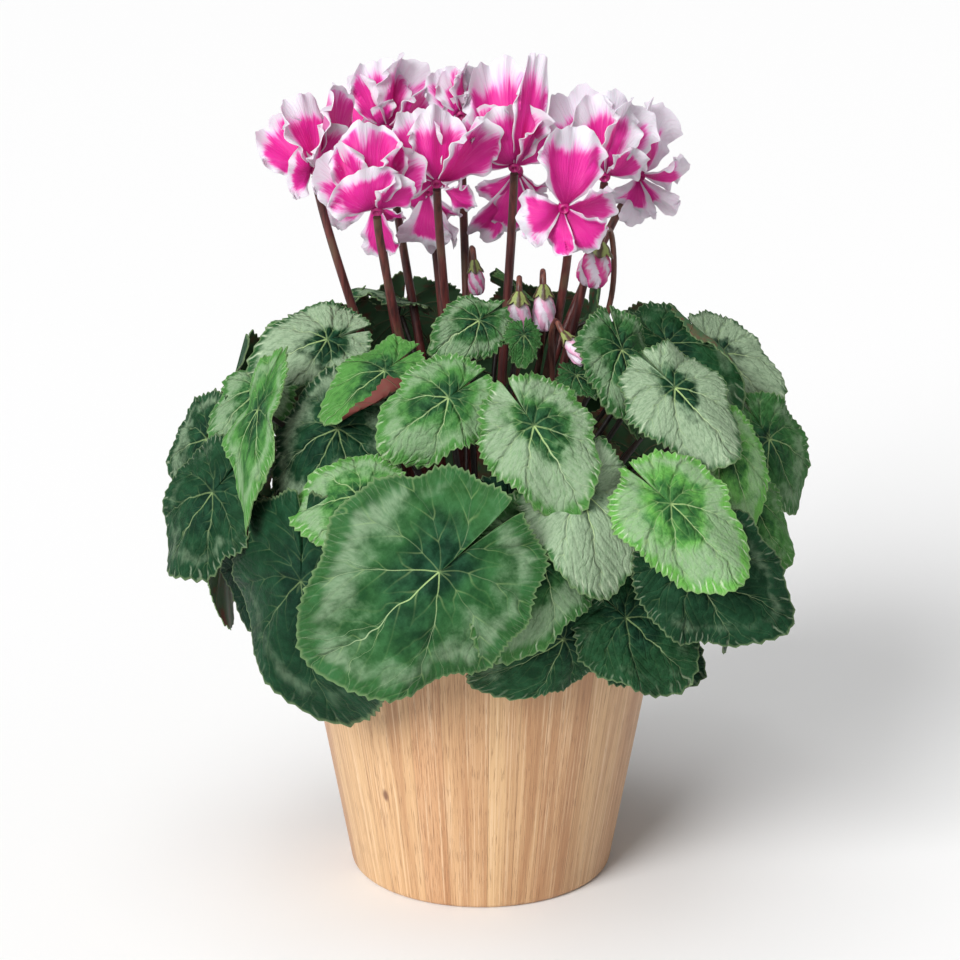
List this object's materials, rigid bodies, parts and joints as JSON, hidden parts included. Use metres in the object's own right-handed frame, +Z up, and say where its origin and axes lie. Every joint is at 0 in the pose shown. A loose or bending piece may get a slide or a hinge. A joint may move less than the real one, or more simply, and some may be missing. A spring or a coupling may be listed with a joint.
{
  "type": "potted cyclamen",
  "caption": "Potted cyclamen: a mound of toothed heart-shaped leaves with ruffled pink and white flowers on tall stalks, in a tapered wooden pot cover.",
  "frame": {"origin": "centre of the wooden pot cover's underside, on the surface that it stands on", "axes": "+Z up along the pot's axis, -Y towards someone who looks at the plant's best side, +X to their right"},
  "size_m": [0.3154, 0.2877, 0.4173],
  "materials": {
    "wood": "satin lacquer over light wood with vertical grain, glued from staves",
    "grow_pot": "matte dark plastic",
    "soil": "dark crumbly potting soil",
    "stalk": "smooth reddish-brown plant stalks",
    "leaf": "satin dark green with a silver-grey band and pale veins",
    "leaf_back": "satin dark green with a silver-grey band and pale veins",
    "petal": "soft magenta pink with white ruffled margins",
    "bud": "soft white and pink, petals rolled"
  },
  "bodies": {
    "root": {"wood_pot": "wood", "grow_pot": "grow_pot", "soil": "soil", "tuber_and_stalks": "stalk", "leaf_front_1": "leaf", "leaf_front_2": "leaf", "leaf_front_3": "leaf", "leaf_front_4": "leaf", "leaf_front_5": "leaf", "leaf_front_6": "leaf", "leaf_front_7": "leaf", "leaf_left_1": "leaf", "leaf_left_2": "leaf", "leaf_left_3": "leaf", "leaf_left_4": "leaf", "leaf_left_5": "leaf", "leaf_left_6": "leaf", "leaf_left_7": "leaf", "leaf_left_8": "leaf", "leaf_left_9": "leaf", "leaf_left_10": "leaf", "leaf_low_1": "leaf", "leaf_low_2": "leaf", "leaf_low_3": "leaf", "leaf_low_4": "leaf", "leaf_low_5": "leaf", "leaf_low_6": "leaf", "leaf_right_1": "leaf", "leaf_right_2": "leaf", "leaf_right_3": "leaf", "leaf_right_4": "leaf", "leaf_right_5": "leaf", "leaf_right_6": "leaf", "leaf_right_7": "leaf", "leaf_top_1": "leaf", "leaf_top_2": "leaf", "leaf_top_3": "leaf", "leaf_top_4": "leaf", "leaf_top_5": "leaf", "leaves_back_1": "leaf_back", "leaves_back_2": "leaf_back", "leaves_back_3": "leaf_back", "leaves_back_4": "leaf_back", "bloom_1": "petal", "bloom_2": "petal", "bloom_3": "petal", "bloom_4": "petal", "bloom_5": "petal", "bloom_6": "petal", "bloom_7": "petal", "bloom_8": "petal", "bloom_9": "petal", "bloom_10": "petal", "bloom_11": "petal", "bloom_12": "petal", "bud_1": "bud", "bud_2": "bud", "bud_3": "bud", "bud_4": "bud", "bud_5": "bud"}
  },
  "joints": []
}
